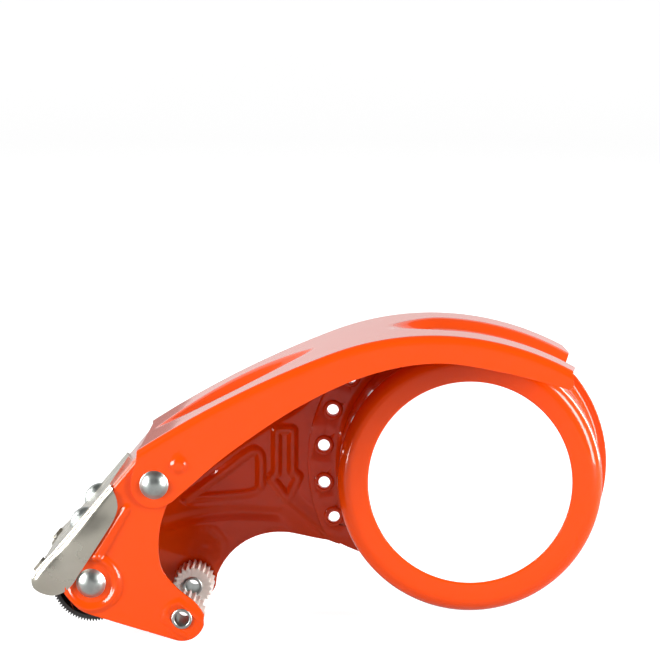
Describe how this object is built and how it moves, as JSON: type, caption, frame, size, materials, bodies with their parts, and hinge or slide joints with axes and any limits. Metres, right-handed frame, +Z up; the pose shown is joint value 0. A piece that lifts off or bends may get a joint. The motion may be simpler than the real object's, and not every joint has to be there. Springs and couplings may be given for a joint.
{
  "type": "packing tape dispenser",
  "caption": "Hand-held metal packing tape dispenser: hollow core drum, hinged cover, toothed blade with ears, knurled press roller and toothed guide wheels.",
  "frame": {"origin": "on the tape drum's axis, midway between the two side plates", "axes": "+X runs from the cutting edge towards the tail, the open side from which a tape roll slides on is -Y, +Z is up with the tool standing on its drum rim and its two legs"},
  "size_m": [0.1635, 0.0604, 0.0856],
  "materials": {
    "orange_enamel": "glossy stoved enamel",
    "zinc_steel": "zinc-plated steel, satin",
    "nickel_steel": "nickel-plated steel, polished",
    "black_rubber": "finely knurled, matt",
    "white_nylon": "moulded nylon, milky white"
  },
  "bodies": {
    "frame": {"body_frame": "orange_enamel", "drum_plate": "orange_enamel", "hinge_rivet_left": "zinc_steel", "hinge_rivet_right": "zinc_steel", "cutter_blade": "nickel_steel", "blade_screw_left": "zinc_steel", "blade_screw_right": "zinc_steel", "blade_nut_left": "zinc_steel", "blade_nut_right": "zinc_steel", "roller_axle": "zinc_steel", "roller_sleeve": "zinc_steel", "guide_eyelet_left": "zinc_steel", "guide_eyelet_right": "zinc_steel"},
    "cover": {"cover": "orange_enamel"},
    "press_roller": {"press_roller": "black_rubber"},
    "guide_wheel_left": {"guide_wheel_left": "white_nylon"},
    "guide_wheel_right": {"guide_wheel_right": "white_nylon"}
  },
  "joints": [
    {"name": "cover_hinge", "type": "hinge", "parent": "frame", "child": "cover", "pos_m": [-0.0873, 0, 0.00255], "axis": [0, -1, 0], "range_deg": [0, 45]},
    {"name": "press_roller_spin", "type": "hinge", "parent": "frame", "child": "press_roller", "pos_m": [-0.105, 0, -0.0253], "axis": [0, 1, 0], "continuous": true},
    {"name": "guide_wheel_left_spin", "type": "hinge", "parent": "frame", "child": "guide_wheel_left", "pos_m": [-0.0799, -0.02, -0.0352], "axis": [0, 1, 0], "continuous": true},
    {"name": "guide_wheel_right_spin", "type": "hinge", "parent": "frame", "child": "guide_wheel_right", "pos_m": [-0.0799, 0.02, -0.0352], "axis": [0, 1, 0], "continuous": true}
  ]
}
